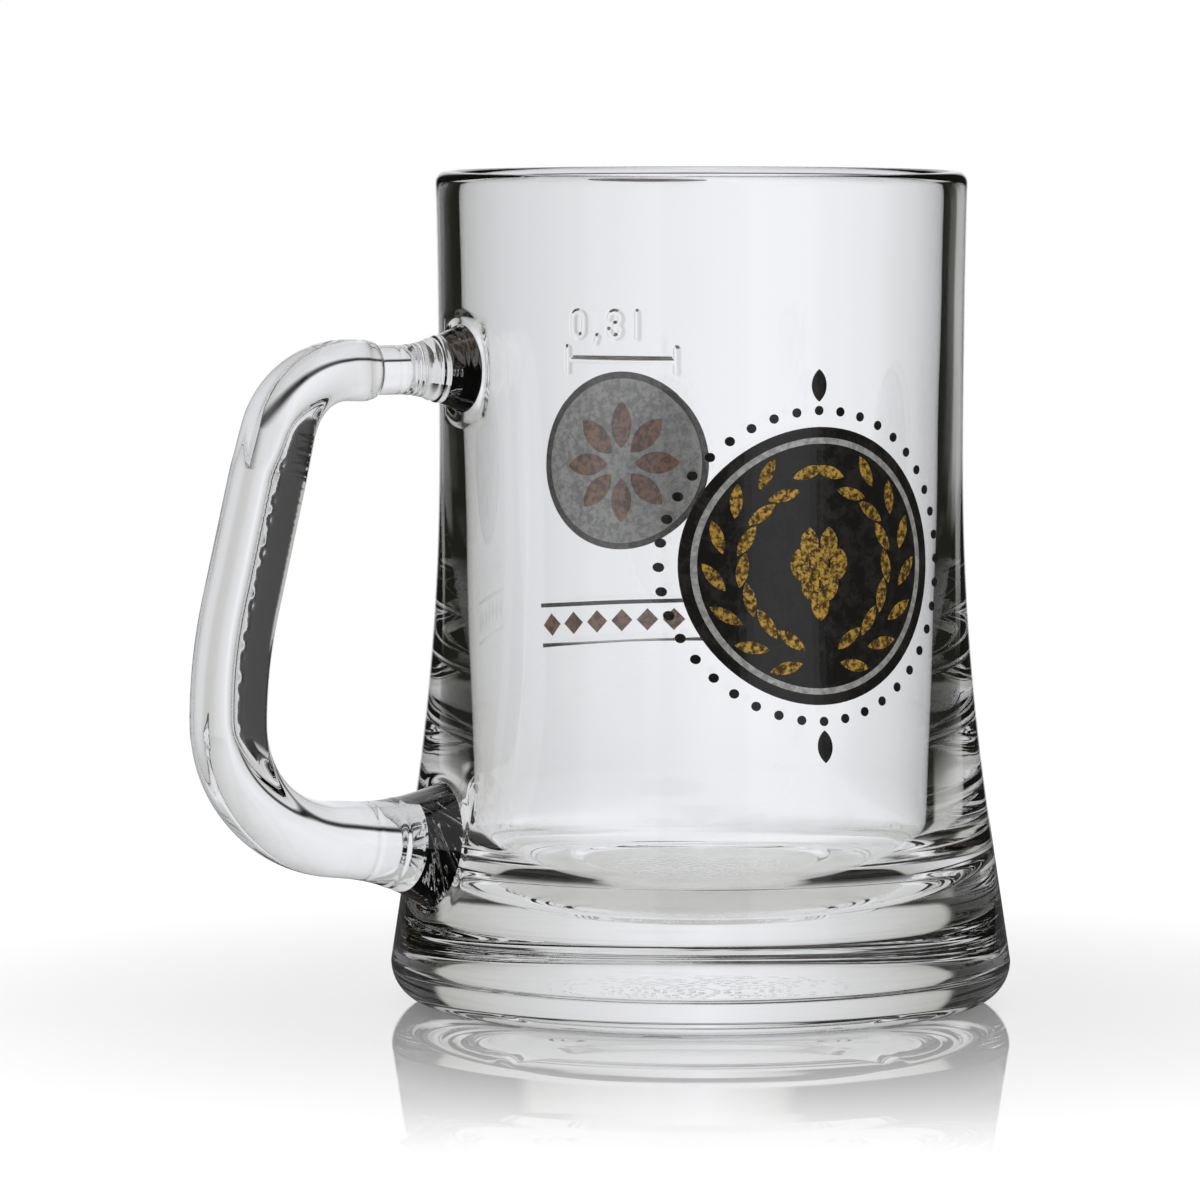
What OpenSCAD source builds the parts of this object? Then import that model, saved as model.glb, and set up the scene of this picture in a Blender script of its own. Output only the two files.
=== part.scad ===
// Beer mug of pressed glass with a welded-on handle and fired enamel decoration.
// The origin is the middle of the foot ring, +Z is up, and the handle points along -X.

/* [Vessel outside] */
// Height from the foot to the top of the rim
height = 126; // [110:1:145]
// Outer diameter at the rim
rim_d = 80.4; // [76:0.2:88]
// Outer diameter at the waist, the narrowest place
waist_d = 79.4; // [74:0.2:84]
// Height of the waist
waist_z = 83; // [74:1:96]
// Outer diameter where the flare runs into the straight skirt
skirt_d = 87.4; // [84:0.2:92]
// Height where the straight skirt begins
skirt_z = 29; // [24:1:40]
// Outer diameter at the widest place of the base
base_d = 94.2; // [92:0.2:102]
// Radius between the skirt and the foot
base_round = 6.3; // [4:0.1:8]

/* [Vessel inside] */
// Wall thickness at the rim
rim_wall = 3.5; // [2.6:0.1:5]
// Inner diameter where the lip begins to open
lip_d = 72.4; // [66:0.2:73]
// Height where the lip begins to open
lip_z = 101; // [92:1:112]
// Inner diameter at the top of the bottom corner
bore_d = 70; // [62:0.2:71]
// Radius of the bottom corner
corner_r = 14; // [8:0.5:15]
// Height of the floor at its edge
floor_z = 14.5; // [12:0.5:18]
// Diameter of the dish in the floor at its upper edge
dish_d = 41.6; // [36:0.2:42]
// Diameter of the flat at the bottom of the dish
dish_flat_d = 38; // [30:0.2:40]
// Depth of the dish
dish_depth = 1.2; // [0.5:0.1:3]

/* [Underside] */
// Width of the ring that the mug stands on
foot_ring_w = 3.9; // [2:0.1:6]
// Depth of the recess inside the foot ring
recess = 0.9; // [0.5:0.1:3]
// Width of the slope from the foot ring into the recess
recess_slope_w = 1.6; // [0.8:0.1:4]
// Rise of the recess from its edge to its middle
push_up = 0.4; // [0.2:0.1:2]

/* [Fill mark] */
// Turn of the fill mark round from the front medallion, in degrees
fill_turn = 317; // [300:1:325]
// Height of the calibration line
fill_z = 99; // [95:0.5:103]
// Length of the calibration line
fill_l = 17.4; // [13:0.2:20]
// Thickness of the line and of the figure's strokes
fill_t = 0.8; // [0.5:0.1:1.2]
// Height of the ticks at the ends of the line
tick_h = 4.2; // [3:0.2:8]
// Height of the capacity figure
figure_h = 4.4; // [3:0.2:5]
// Gap between the line and the figure
figure_gap = 3; // [2.2:0.1:4]
// How far the mark stands out of the wall
fill_relief = 0.25; // [0.1:0.05:0.4]

/* [Handle run] */
// Height of the upper weld
weld_z = 96.9; // [85:0.1:106]
// Straight run of the upper arm from the wall
arm_len = 18.4; // [17:0.2:26]
// Radius of the upper bend
top_bend_r = 11.6; // [9:0.1:16]
// Lean of the grip from upright, in degrees
grip_lean = 13.1; // [6:0.1:20]
// Straight length of the grip
grip_len = 26.2; // [18:0.2:34]
// Radius of the swell at the bottom of the grip
swell_r = 75; // [40:1:120]
// Radius of the lower bend
low_bend_r = 18.1; // [15:0.1:24]
// Fall of the lower arm toward the wall, in degrees
arm_fall = 6.2; // [0:0.1:12]

/* [Handle section] */
// Diameter of the upper weld at the wall
boss_d = 13.2; // [10:0.2:15]
// Length of the flare from the wall to the neck
boss_len = 9.4; // [5:0.2:11]
// Curve of that flare: 1 is a cone, more is hollower
boss_curve = 1.5; // [1:0.1:3]
// Diameter of the neck
neck_d = 7.4; // [6:0.2:9]
// Length of the neck
neck_len = 4.6; // [3:0.2:8]
// Length of the quarter round shoulder between the neck and the arm
shoulder_len = 2.4; // [1.5:0.1:5]
// Diameter of the upper arm
arm_d = 9.2; // [8.6:0.2:11]
// Distance from the handle's middle line to the outer side of the grip
grip_out = 5.5; // [4.6:0.1:7]
// Distance from the handle's middle line to the flat inner side of the grip
grip_in = 3.8; // [3.4:0.1:5]
// Width of the grip across the mug's middle plane
grip_w = 13.8; // [11:0.2:16]
// Distance from the middle line to the grip's widest place, on the inner side
widest_in = 3; // [0:0.1:3.1]
// Squareness of the grip's outer side: 2 is a half oval
outer_power = 2.4; // [2:0.1:3]
// Squareness of the grip's inner side: 2 is a half oval
inner_power = 3.4; // [2:0.1:5]
// Length over which the arm swells to the grip
swell_len = 24; // [16:1:60]
// Length over which the flat inner side comes in below the shoulder
flat_len = 16; // [10:1:30]
// Height of the lower weld at the wall
foot_h = 19; // [15:0.2:22]
// Width of the lower weld at the wall
foot_w = 16.4; // [13:0.2:18]
// Thickness of the lower arm
foot_arm_t = 11.6; // [10:0.2:13]
// Length of the flare from the lower arm to the wall
foot_len = 14.6; // [8:0.2:20]

/* [Front decoration] */
// Thickness of the fired enamel
enamel_t = 0.1; // [0.06:0.01:0.2]
// Height of the middle of the front medallion
front_z = 68.8; // [62:0.2:74]
// Diameter of the black ground
ground_d = 40.8; // [36:0.2:44]
// Diameter of the silver ring, at its middle
ring_d = 36.8; // [33:0.2:38.6]
// Width of the silver ring
ring_w = 0.9; // [0.5:0.1:1.4]
// Diameter of the circle that the two barley ears follow
wreath_d = 27.2; // [24:0.2:29]
// Angle below level at which an ear starts, in degrees
ear_start = 78; // [60:1:84]
// Angle that an ear sweeps, in degrees
ear_sweep = 150; // [120:1:154]
// Number of grain pairs on each ear
grain_pairs = 7; // [4:1:8]
// Length of a grain
grain_l = 5.2; // [3:0.1:6]
// Width of a grain
grain_w = 1.8; // [1:0.1:2.4]
// Gap between the two grains of a pair
grain_gap = 0.2; // [0.1:0.05:0.6]
// Lean of a grain from its stem, in degrees
grain_lean = 24; // [10:1:40]
// Length of a scale of the hop cone
scale_l = 4.8; // [3:0.1:6]
// Width of a scale of the hop cone
scale_w = 2.9; // [2:0.1:3.4]
// Gap between neighbouring scales
scale_gap = 0.3; // [0.1:0.05:0.6]
// Height from one row of scales to the next
scale_rise = 3; // [2:0.1:4]
// Height of the top of the hop cone above the middle of the medallion
cone_top = 5.7; // [4:0.1:7]
// Number of black beads round the ground
bead_count = 40; // [24:1:48]
// Diameter of a bead
bead_d = 1.4; // [0.8:0.1:2]
// Diameter of the circle of beads
bead_ring_d = 45.6; // [42:0.2:49]
// Length of the black leaves above and below the beads
tip_leaf_l = 4.8; // [3:0.2:8]
// Width of the black leaves
tip_leaf_w = 2.4; // [1.5:0.1:4]
// Gap between the beads and a leaf
tip_gap = 0.6; // [0.2:0.1:1.5]

/* [Back decoration] */
// Turn of the back badge round from the front medallion, in degrees
back_turn = 174; // [150:1:200]
// Height of the middle of the badge
badge_z = 79; // [74:0.2:80]
// Diameter of the silver ground of the badge
badge_d = 27.2; // [22:0.2:29]
// Width of the dark outline of the badge
outline_w = 1.1; // [0.6:0.1:1.6]
// Number of copper petals in the badge
petal_count = 8; // [5:1:10]
// Length of a petal
petal_l = 7.6; // [4:0.1:8]
// Width of a petal
petal_w = 3.6; // [1.5:0.1:3.8]
// Distance from the middle of the badge to the foot of a petal
petal_start = 2.4; // [1.5:0.1:4]
// Height of the ornament below the badge
band_z = 52; // [48:0.5:56]
// Length of the dark rules of the ornament
band_l = 33; // [24:0.5:40]
// Gap between the two dark rules
band_gap = 6.2; // [4:0.2:8]
// Thickness of a dark rule
rule_t = 0.7; // [0.4:0.1:1]
// Number of copper lozenges between the rules
lozenge_count = 7; // [3:1:9]
// Width and height of a lozenge
lozenge_d = 3.9; // [2:0.1:4.4]

/* [Hidden] */
$fn = 96;
// Height of one step of the wall's curves, and the turn of one step of its round edges
wall_step = 4;
edge_step = 10;
rim_step = 15;
// Least step between the bottom corner, the dish and its flat
dish_gap = 0.2;
// Steps across the rise of the recess
under_steps = 6;
// Sides of the handle's section, and the length of one step along it
handle_sides = 32;
handle_step = 1.6;
// Depth to which the handle's ends run into the vessel before they are cut to its wall
weld_sink = 5;
// Depth to which the fill mark runs into the wall that it is pressed with
mark_sink = 0.6;
// Width of a digit against its height, and the lean of the comma in degrees
digit_share = 0.58;
comma_lean = 20;
// Rows of scales in the hop cone, from its top
cone_rows = [2, 3, 2, 1];
rim_round = rim_wall / 2;
top_z = height - rim_round;
foot_r = base_d / 2 - base_round;
recess_r = foot_r - foot_ring_w - recess_slope_w;
corner_top = floor_z + corner_r;
lip_run = top_z - lip_z;
lip_slope = (lip_d - bore_d) / 2 / (lip_z - corner_top);
GLASS = [0.86, 0.9, 0.92, 0.45];
BLACK = [0.04, 0.04, 0.04];
GOLD = [0.72, 0.52, 0.16];
SILVER = [0.68, 0.69, 0.69];
DARK = [0.16, 0.13, 0.12];
COPPER = [0.56, 0.36, 0.26];

// Outer radius of the wall: a straight skirt, then two parabolas that meet at the waist
function wall_r(z) =
    z > waist_z ? (waist_d + (rim_d - waist_d) * pow((z - waist_z) / (top_z - waist_z), 2)) / 2
    : z > skirt_z ? (waist_d + (skirt_d - waist_d) * pow((waist_z - z) / (waist_z - skirt_z), 2)) / 2
    : (skirt_d + (base_d - skirt_d) * (skirt_z - z) / (skirt_z - base_round)) / 2;

// Inner radius of the wall: a straight taper, then a parabola that opens to the lip
function bore_r(z) =
    let (taper_r = lip_d / 2 + lip_slope * (z - lip_z))
    let (opening = rim_d / 2 - rim_wall - lip_d / 2 - lip_slope * lip_run)
    z < lip_z ? taper_r : taper_r + opening * pow((z - lip_z) / lip_run, 2);

// Heights from one level on to another in equal steps, without the last
function levels(from, to) =
    let (steps = ceil(abs(to - from) / wall_step)) [for (i = [0:steps - 1]) from + (to - from) * i / steps];

// Points of an arc round a middle, at a range of angles
function arc(middle, r, angles) = [for (a = angles) middle + r * [cos(a), sin(a)]];

// The wall's outer line from the skirt's foot to the rim, which every outside piece shares
wall_levels = concat(levels(base_round, skirt_z), levels(skirt_z, waist_z), levels(waist_z, top_z), [top_z]);
wall_line = [for (z = wall_levels) [wall_r(z), z]];
foot_line = arc([foot_r, base_round], base_round, [-90:edge_step:-edge_step]);

// The solid that the wall encloses, without its hollow
module filled_vessel() {
    rotate_extrude()
        polygon(concat([[0, 0]], foot_line, wall_line, [[0, top_z]]));
}

// Half outline of the vessel: foot ring, skirt, wall, rim, bore, dished floor and the recess below
module vessel_outline() {
    rim = arc([rim_d / 2 - rim_round, top_z], rim_round, [rim_step:rim_step:180 - rim_step]);
    bore_line = [for (z = concat(levels(top_z, corner_top), [corner_top])) [bore_r(z), z]];
    corner = arc([bore_d / 2 - corner_r, corner_top], corner_r, [-edge_step:-edge_step:-90]);
    dish_z = floor_z - dish_depth;
    dish_r = min(dish_d, bore_d - 2 * corner_r - dish_gap) / 2;
    flat_r = min(dish_flat_d / 2, dish_r - dish_gap);
    dish = [[dish_r, floor_z], [flat_r, dish_z], [0, dish_z]];
    under_line = [for (i = [0:under_steps])
        let (share = i / under_steps) [recess_r * share, recess + push_up * (1 - share * share)]];
    foot_edge = [[foot_r - foot_ring_w, 0]];
    polygon(concat(under_line, foot_edge, foot_line, wall_line, rim, bore_line, corner, dish));
}

// Lays a flat drawing on the outside of the wall, with the drawing's y as the height. The drawing
// becomes a skin that stands out by the thickness and may run some way into the wall.
module on_wall(thickness, turn, sink = 0) {
    back_line = [for (i = [len(wall_line) - 1:-1:0]) wall_line[i] + [thickness, 0]];
    sunk_line = [for (point = wall_line) point - [sink, 0]];
    rotate([0, 0, turn])
        intersection() {
            rotate_extrude()
                polygon(concat(sunk_line, back_line));
            rotate([90, 0, 0])
                linear_extrude(base_d)
                    children();
        }
}

// A flat shape with two straight sides and round ends above and below
module stadium(width, length) {
    square([width, length - width], center = true);
    for (side = [-1, 1])
        translate([0, side * (length - width) / 2])
            circle(d = width);
}

// The nought of the capacity figure
module nought(width) {
    difference() {
        stadium(width, figure_h);
        stadium(width - 2 * fill_t, figure_h - 2 * fill_t);
    }
}

// The three of the capacity figure: two rings, each open on the left toward the other
module three() {
    ring_out = (figure_h + fill_t) / 2;
    for (side = [-1, 1])
        translate([0, side * (ring_out - fill_t) / 2])
            difference() {
                circle(d = ring_out);
                circle(d = ring_out - 2 * fill_t);
                translate([-ring_out / 2, -side * ring_out / 4])
                    square([ring_out, ring_out / 2], center = true);
            }
}

// The calibration line with its end ticks, and the capacity in litres above it
module fill_drawing() {
    digit_w = figure_h * digit_share;
    pitch = digit_w + 2 * fill_t;
    comma_pitch = pitch + 2 * fill_t;
    translate([0, fill_z]) {
        square([fill_l, fill_t], center = true);
        for (side = [-1, 1])
            translate([side * (fill_l - fill_t) / 2, 0])
                square([fill_t, tick_h], center = true);
        translate([-fill_t, figure_gap + figure_h / 2]) {
            translate([-comma_pitch, 0])
                nought(digit_w);
            translate([-comma_pitch / 2, -figure_h / 2])
                rotate(-comma_lean)
                    square([fill_t, 2 * fill_t], center = true);
            three();
            translate([pitch - fill_t, 0])
                square([fill_t, figure_h], center = true);
        }
    }
}

module vessel() {
    color(GLASS) {
        rotate_extrude()
            vessel_outline();
        on_wall(fill_relief, fill_turn, mark_sink)
            fill_drawing();
    }
}

// A place on the handle's run is [distance from the axis, height, heading in degrees].
// Going on by a length and a turn to the right gives the next place.
function go_on(place, length, turn) =
    let (h = place[2])
    turn == 0 ? [place[0] + length * cos(h), place[1] + length * sin(h), h]
    : let (r = length / turn * 180 / PI)
        [place[0] + r * (sin(h) - sin(h - turn)), place[1] + r * (cos(h - turn) - cos(h)), h - turn];

function arc_length(r, turn) = r * turn * PI / 180;

// The handle's run: upper arm, upper bend, grip, swell, lower bend and lower arm, each [length, turn]
weld_start = [wall_r(weld_z) - weld_sink, weld_z, 0];
top_turn = 90 - grip_lean;
low_turn = 90 - arm_fall;
arm_run = [arm_len + weld_sink, 0];
top_run = [arc_length(top_bend_r, top_turn), top_turn];
grip_run = [grip_len, 0];
swell_run = [arc_length(swell_r, grip_lean), grip_lean];
low_run = [arc_length(low_bend_r, low_turn), low_turn];
arm_end = go_on(weld_start, arm_run[0], 0);
top_end = go_on(arm_end, top_run[0], top_turn);
grip_end = go_on(top_end, grip_len, 0);
swell_end = go_on(grip_end, swell_run[0], grip_lean);
low_end = go_on(swell_end, low_run[0], low_turn);
foot_run = [(low_end[0] - wall_r(low_end[1]) + weld_sink) / cos(arm_fall), 0];
run_starts = [weld_start, arm_end, top_end, grip_end, swell_end, low_end];
runs = [arm_run, top_run, grip_run, swell_run, low_run, foot_run];
run_offsets = [for (i = 0, s = 0; i <= len(runs); s = s + (i < len(runs) ? runs[i][0] : 0), i = i + 1) s];
handle_len = run_offsets[len(runs)];

// Stations along the handle: [distance along it, place]
stations = concat(
    [for (i = [0:len(runs) - 1])
        let (steps = ceil(runs[i][0] / handle_step))
        for (j = [0:steps - 1])
            let (part = runs[i] * j / steps)
            [run_offsets[i] + part[0], go_on(run_starts[i], part[0], part[1])]],
    [[handle_len, go_on(low_end, foot_run[0], 0)]]);

function clamp(t) = max(0, min(1, t));

// Half size of the handle: welded boss, neck, shoulder, arm swelling to the grip, lower arm, flared foot
function handle_half(s, weld, arm, grip, low_arm, foot) =
    let (from_weld = s - weld_sink, from_foot = handle_len - weld_sink - s)
    let (past_neck = from_weld - boss_len - neck_len, past_shoulder = past_neck - shoulder_len)
    let (neck = neck_d / 2)
    past_neck < 0 ? neck + (weld - neck) * pow(1 - clamp(from_weld / boss_len), boss_curve)
    : past_shoulder < 0 ? neck + (arm - neck) * sqrt(1 - pow(past_shoulder / shoulder_len, 2))
    : arm + (grip - arm) * clamp(past_shoulder / swell_len)
        + (low_arm - grip) * (1 - clamp((from_foot - foot_len) / low_run[0]))
        + (foot - low_arm) * pow(1 - clamp(from_foot / foot_len), 2);

// Share of the flat inner side: it comes in below the shoulder and fades along the lower bend
function flatness(s) =
    let (past_shoulder = s - weld_sink - boss_len - neck_len - shoulder_len)
    let (from_foot = handle_len - weld_sink - s)
    clamp(past_shoulder / flat_len) * clamp((from_foot - foot_len) / low_run[0]);

// A cosine or sine of a rounded oval: power 2 is a true oval, more is squarer
function bow(wave, power) = sign(wave) * pow(abs(wave), 2 / power);

// One ring of points round the handle
function handle_ring(station) =
    let (s = station[0], place = station[1], flat = flatness(s), widest = flat * widest_in)
    let (out_half = handle_half(s, boss_d / 2, arm_d / 2, grip_out, foot_arm_t / 2, foot_h / 2))
    let (in_half = handle_half(s, boss_d / 2, arm_d / 2, grip_in, foot_arm_t / 2, foot_h / 2))
    let (half_w = handle_half(s, boss_d / 2, arm_d / 2, grip_w / 2, grip_w / 2, foot_w / 2))
    [for (k = [0:handle_sides - 1])
        let (a = 360 * k / handle_sides, outer = cos(a) > 0)
        let (power = 2 + flat * ((outer ? outer_power : inner_power) - 2))
        let (out = (outer ? out_half + widest : in_half - widest) * bow(cos(a), power) - widest)
        [-place[0] + out * sin(place[2]), half_w * bow(sin(a), power), place[1] + out * cos(place[2])]];

// Two triangles for each side between one ring of points and the next, and a face on each end
function tube_faces(rings, sides) = concat(
    [[for (k = [sides - 1:-1:0]) k]],
    [for (i = [0:rings - 2]) for (k = [0:sides - 1])
        let (a = i * sides + k, b = i * sides + (k + 1) % sides)
        each [[a, b, b + sides], [a, b + sides, a + sides]]],
    [[for (k = [0:sides - 1]) (rings - 1) * sides + k]]);

module handle() {
    points = [for (station = stations) each handle_ring(station)];
    color(GLASS)
        difference() {
            polyhedron(points, tube_faces(len(stations), handle_sides));
            filled_vessel();
        }
}

// A pointed leaf between two arcs, from the origin along y
module leaf(length, width) {
    r = (length * length + width * width) / width / 4;
    translate([0, length / 2])
        intersection() {
            translate([r - width / 2, 0])
                circle(r);
            translate([width / 2 - r, 0])
                circle(r);
        }
}

// One barley ear that follows the wreath's circle up the right side: grain pairs and a last grain
module barley_ear() {
    step = ear_sweep / grain_pairs;
    for (i = [0:grain_pairs - 1], side = [-1, 1])
        rotate(step * i - ear_start)
            translate([(wreath_d + side * (grain_w + grain_gap)) / 2, 0])
                rotate(-side * grain_lean)
                    leaf(grain_l, grain_w);
    rotate(ear_sweep - ear_start)
        translate([wreath_d / 2, 0])
            leaf(grain_l, grain_w);
}

// A hop cone hanging point down: rows of scales that narrow to one
module hop_cone() {
    for (row = [0:len(cone_rows) - 1], i = [0:cone_rows[row] - 1])
        translate([(i - (cone_rows[row] - 1) / 2) * (scale_w + scale_gap), cone_top - scale_rise * row])
            rotate(180)
                leaf(scale_l, scale_w);
}

module front_gold_drawing() {
    translate([0, front_z]) {
        barley_ear();
        mirror([1, 0])
            barley_ear();
        hop_cone();
    }
}

module front_silver_drawing() {
    translate([0, front_z])
        difference() {
            circle(d = ring_d + ring_w);
            circle(d = ring_d - ring_w);
        }
}

module front_black_drawing() {
    difference() {
        translate([0, front_z])
            circle(d = ground_d);
        front_gold_drawing();
        front_silver_drawing();
    }
    translate([0, front_z]) {
        for (i = [0:bead_count - 1])
            rotate(360 * i / bead_count)
                translate([bead_ring_d / 2, 0])
                    circle(d = bead_d);
        for (side = [0, 180])
            rotate(side)
                translate([0, (bead_ring_d + bead_d) / 2 + tip_gap])
                    leaf(tip_leaf_l, tip_leaf_w);
    }
}

module front_black_enamel() {
    color(BLACK)
        on_wall(enamel_t, 0)
            front_black_drawing();
}

module front_gold_enamel() {
    color(GOLD)
        on_wall(enamel_t, 0)
            front_gold_drawing();
}

module front_silver_enamel() {
    color(SILVER)
        on_wall(enamel_t, 0)
            front_silver_drawing();
}

module petals() {
    translate([0, badge_z])
        for (i = [0:petal_count - 1])
            rotate(360 * i / petal_count)
                translate([0, petal_start])
                    leaf(petal_l, petal_w);
}

module lozenges() {
    pitch = band_l / lozenge_count;
    for (i = [0:lozenge_count - 1])
        translate([(i - (lozenge_count - 1) / 2) * pitch, band_z])
            rotate(45)
                square(lozenge_d / sqrt(2), center = true);
}

module back_silver_enamel() {
    color(SILVER)
        on_wall(enamel_t, back_turn)
            difference() {
                translate([0, badge_z])
                    circle(d = badge_d);
                petals();
            }
}

module back_dark_enamel() {
    color(DARK)
        on_wall(enamel_t, back_turn) {
            translate([0, badge_z])
                difference() {
                    circle(d = badge_d + 2 * outline_w);
                    circle(d = badge_d);
                }
            for (side = [-1, 1])
                translate([0, band_z + side * (band_gap + rule_t) / 2])
                    square([band_l, rule_t], center = true);
        }
}

module back_copper_enamel() {
    color(COPPER)
        on_wall(enamel_t, back_turn) {
            petals();
            lozenges();
        }
}

vessel();
handle();
front_black_enamel();
front_gold_enamel();
front_silver_enamel();
back_silver_enamel();
back_dark_enamel();
back_copper_enamel();
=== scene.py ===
"""A beer mug of clear pressed glass with a welded-on handle and fired enamel decoration."""

import bpy
import numpy as np
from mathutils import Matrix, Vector
from mathutils.geometry import delaunay_2d_cdt


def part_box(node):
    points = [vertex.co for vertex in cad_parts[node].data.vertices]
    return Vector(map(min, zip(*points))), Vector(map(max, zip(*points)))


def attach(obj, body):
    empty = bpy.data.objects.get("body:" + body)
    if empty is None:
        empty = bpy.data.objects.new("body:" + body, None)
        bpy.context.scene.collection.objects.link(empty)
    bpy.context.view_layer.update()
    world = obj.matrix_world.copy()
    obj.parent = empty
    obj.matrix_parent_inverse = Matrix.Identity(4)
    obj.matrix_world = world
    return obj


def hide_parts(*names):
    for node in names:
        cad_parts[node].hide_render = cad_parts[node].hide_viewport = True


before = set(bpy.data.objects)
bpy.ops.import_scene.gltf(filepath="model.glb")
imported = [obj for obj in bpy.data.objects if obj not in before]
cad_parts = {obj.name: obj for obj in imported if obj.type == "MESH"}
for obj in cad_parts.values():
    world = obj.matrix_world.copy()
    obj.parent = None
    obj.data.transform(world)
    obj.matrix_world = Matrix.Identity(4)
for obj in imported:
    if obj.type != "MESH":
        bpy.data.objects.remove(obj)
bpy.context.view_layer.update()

# Vessel
# The body is one gob of clear soda-lime glass, pressed in a mould with a plunger and fire polished.
# Its heavy base flares out to a rounded foot, and it stands on a flat ring round a shallow recess.
# The plunger leaves a dish in the floor, and the mould's base plate a stippled disc under it.

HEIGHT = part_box("vessel")[1].z
RIM_R = 0.0402
WAIST_R = 0.0397
WAIST_Z = 0.083
SKIRT_R = 0.0437
SKIRT_Z = 0.029
BASE_R = 0.0471
BASE_ROUND = 0.0063
BASE_ROUND_END = -5
RIM_WALL = 0.0035
LIP_R = 0.0362
LIP_Z = 0.101
BORE_R = 0.035
CORNER_R = 0.014
FLOOR_Z = 0.0145
DISH_R = 0.0208
DISH_FLAT_R = 0.019
DISH_DEPTH = 0.0012
DISH_EDGE = 0.12
DISH_SOFT = 0.001
FOOT_RING_W = 0.0039
RECESS = 0.0009
RECESS_SLOPE_W = 0.0016
PUSH_UP = 0.0004
STIPPLE_R = 0.0160
STIPPLE_DENSE_R = 0.0100
STIPPLE_PITCH = 0.0008
STIPPLE_DASH = 0.0013
STIPPLE_H = 0.00018
STIPPLE_DENSE_SHARE = 0.62
STIPPLE_THIN_SHARE = 0.3
SCRAMBLE = 127.1, 311.7, 43758.5453
BORE_WAVE = 0.000005
RIM_ROUND = RIM_WALL / 2
TOP_Z = HEIGHT - RIM_ROUND
FOOT_R = BASE_R - BASE_ROUND
RECESS_R = FOOT_R - FOOT_RING_W - RECESS_SLOPE_W
ROUND_STEPS = 256
# How many rows of the grid each stretch of the outline has
STIPPLE_ROWS = 80
RECESS_ROWS = 8
SLOPE_ROWS = 7
RING_ROWS = 3
FOOT_ROWS = 17
WALL_ROWS = 112
RIM_ROWS = 16
BORE_ROWS = 32
CORNER_ROWS = 21
DISH_ROWS = 24
FLAT_ROWS = 6
GLASS_COLOUR = (0.985, 0.99, 0.98, 1)
GLASS_ROUGHNESS = 0.01
GLASS_IOR = 1.52


def wall_radius(z):
    """Outer radius: a straight skirt below SKIRT_Z, then two parabolas that meet at the waist."""
    above = WAIST_R + (RIM_R - WAIST_R) * ((z - WAIST_Z) / (TOP_Z - WAIST_Z)) ** 2
    flare = WAIST_R + (SKIRT_R - WAIST_R) * ((WAIST_Z - z) / (WAIST_Z - SKIRT_Z)) ** 2
    skirt = SKIRT_R + (BASE_R - SKIRT_R) * (SKIRT_Z - z) / (SKIRT_Z - BASE_ROUND)
    return np.where(z > WAIST_Z, above, np.where(z > SKIRT_Z, flare, skirt))


def bore_radius(z):
    """Inner radius: a straight taper up to LIP_Z, then a parabola that opens to the lip."""
    slope = (LIP_R - BORE_R) / (LIP_Z - FLOOR_Z - CORNER_R)
    lip_run = TOP_Z - LIP_Z
    opening = RIM_R - RIM_WALL - LIP_R - slope * lip_run
    past = np.clip((z - LIP_Z) / lip_run, 0, 1)
    return LIP_R + slope * (z - LIP_Z) + opening * past**2


def floor_height(r):
    """Height of the floor: level outside the dish, an even slope with softened edges, level inside."""
    share = (DISH_R - r) / (DISH_R - DISH_FLAT_R)
    soft = [(x + np.sqrt(x**2 + DISH_EDGE**2)) / 2 for x in (share, share - 1)]
    return FLOOR_Z - DISH_DEPTH * (soft[0] - soft[1])


def turned_outline():
    """The half outline as (radius, height) rows from the middle of the underside to the floor's middle,
    and the row numbers where its wall and its bore begin."""
    r = np.append(np.linspace(0, STIPPLE_R, STIPPLE_ROWS + 1)[1:],
                  np.linspace(STIPPLE_R, RECESS_R, RECESS_ROWS + 1)[1:])
    under = np.column_stack([r, RECESS + PUSH_UP * (1 - (r / RECESS_R) ** 2)])
    t = np.linspace(0, 1, SLOPE_ROWS + 1)[1:]
    slope = np.column_stack([RECESS_R + RECESS_SLOPE_W * t, RECESS * (0.5 + 0.5 * np.cos(np.pi * t))])
    ring_r = np.linspace(FOOT_R - FOOT_RING_W, FOOT_R, RING_ROWS + 1)[1:]
    ring = np.column_stack([ring_r, np.zeros(RING_ROWS)])
    a = np.radians(np.linspace(-90, BASE_ROUND_END, FOOT_ROWS + 1)[1:])
    foot = np.column_stack([FOOT_R + BASE_ROUND * np.cos(a), BASE_ROUND * (1 + np.sin(a))])
    z = np.linspace(BASE_ROUND, TOP_Z, WALL_ROWS)
    wall = np.column_stack([wall_radius(z), z])
    a = np.radians(np.linspace(0, 180, RIM_ROWS + 2)[1:-1])
    rim = np.column_stack([RIM_R - RIM_ROUND + RIM_ROUND * np.cos(a), TOP_Z + RIM_ROUND * np.sin(a)])
    z = np.linspace(TOP_Z, FLOOR_Z + CORNER_R, BORE_ROWS)
    bore = np.column_stack([bore_radius(z), z])
    a = np.radians(np.linspace(0, -90, CORNER_ROWS + 1)[1:])
    level_r = BORE_R - CORNER_R
    corner = np.column_stack([level_r + CORNER_R * np.cos(a), FLOOR_Z + CORNER_R * (1 + np.sin(a))])
    flat_r = DISH_FLAT_R - DISH_SOFT
    r = np.append(np.linspace(level_r, flat_r, DISH_ROWS + 1)[1:],
                  np.linspace(flat_r, 0, FLAT_ROWS + 2)[1:-1])
    floor = np.column_stack([r, floor_height(r)])
    wall_start = len(under) + len(slope) + len(ring) + len(foot)
    bore_start = wall_start + len(wall) + len(rim)
    return np.vstack([under, slope, ring, foot, wall, rim, bore, corner, floor]), wall_start, bore_start


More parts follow.
